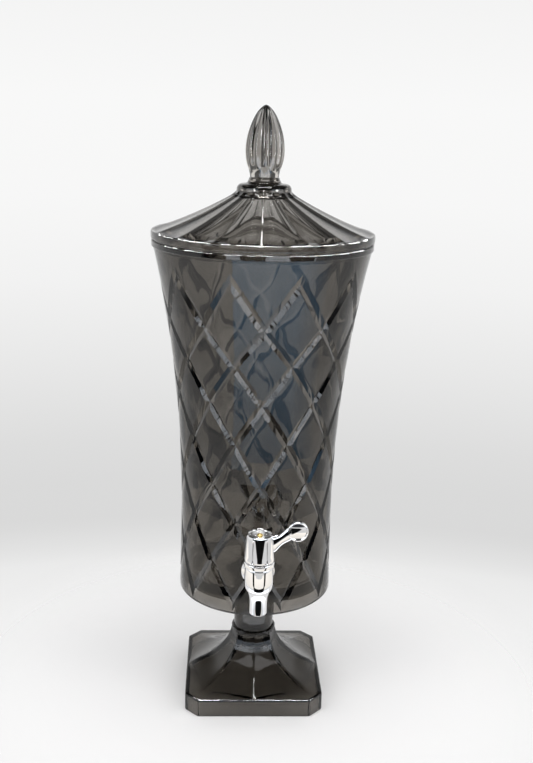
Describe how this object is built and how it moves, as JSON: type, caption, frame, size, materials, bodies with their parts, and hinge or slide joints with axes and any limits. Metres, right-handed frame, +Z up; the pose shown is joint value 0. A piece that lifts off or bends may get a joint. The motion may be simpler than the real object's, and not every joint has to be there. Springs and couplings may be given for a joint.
{
  "type": "drink dispenser tower",
  "caption": "Pedestal drink dispenser of smoke-grey clear plastic: flared diamond-cut vessel, fluted lift-off cone lid with bud finial, and a chromed quarter-turn lever tap.",
  "frame": {"origin": "middle of the pedestal's underside, on the surface it stands on", "axes": "+Z up, -Y is the front, where the tap is, +X to the right seen from the front"},
  "size_m": [0.1714, 0.1833, 0.48],
  "materials": {
    "smoke_clear": "clear moulded acrylic, smoke-grey tint, glossy, with cut facets",
    "tap_chrome": "bright chrome plate, polished",
    "badge_chrome": "bright chrome plate, dished, fine brushed rings",
    "stud_brass": "polished gold-coloured",
    "silicone": "translucent white silicone, matt",
    "black_rubber": "black nitrile, satin",
    "nut_plastic": "black moulded nylon, satin",
    "plug_plastic": "natural moulded acetal, satin",
    "screw_steel": "zinc-plated steel"
  },
  "bodies": {
    "stand_and_vessel": {"pedestal": "smoke_clear", "vessel": "smoke_clear", "tap_outer_washer": "silicone", "tap_inner_washer": "silicone", "tap_lock_nut": "nut_plastic", "tap_body": "tap_chrome", "seat_seal": "silicone", "tap_bonnet": "tap_chrome"},
    "lid": {"lid_shell": "smoke_clear", "finial": "smoke_clear"},
    "tap_lever": {"tap_plug": "plug_plastic", "plug_o_rings": "black_rubber", "tap_handle": "tap_chrome", "handle_screw": "screw_steel", "handle_badge": "badge_chrome", "badge_stud": "stud_brass"}
  },
  "joints": [
    {"name": "lid_lift", "type": "slide", "parent": "stand_and_vessel", "child": "lid", "axis": [0, 0, 1], "range_m": [0, 0.15]},
    {"name": "tap_turn", "type": "hinge", "parent": "stand_and_vessel", "child": "tap_lever", "pos_m": [0, -0.08615, 0.135], "axis": [0, 0, 1], "range_deg": [-90, 0]}
  ]
}
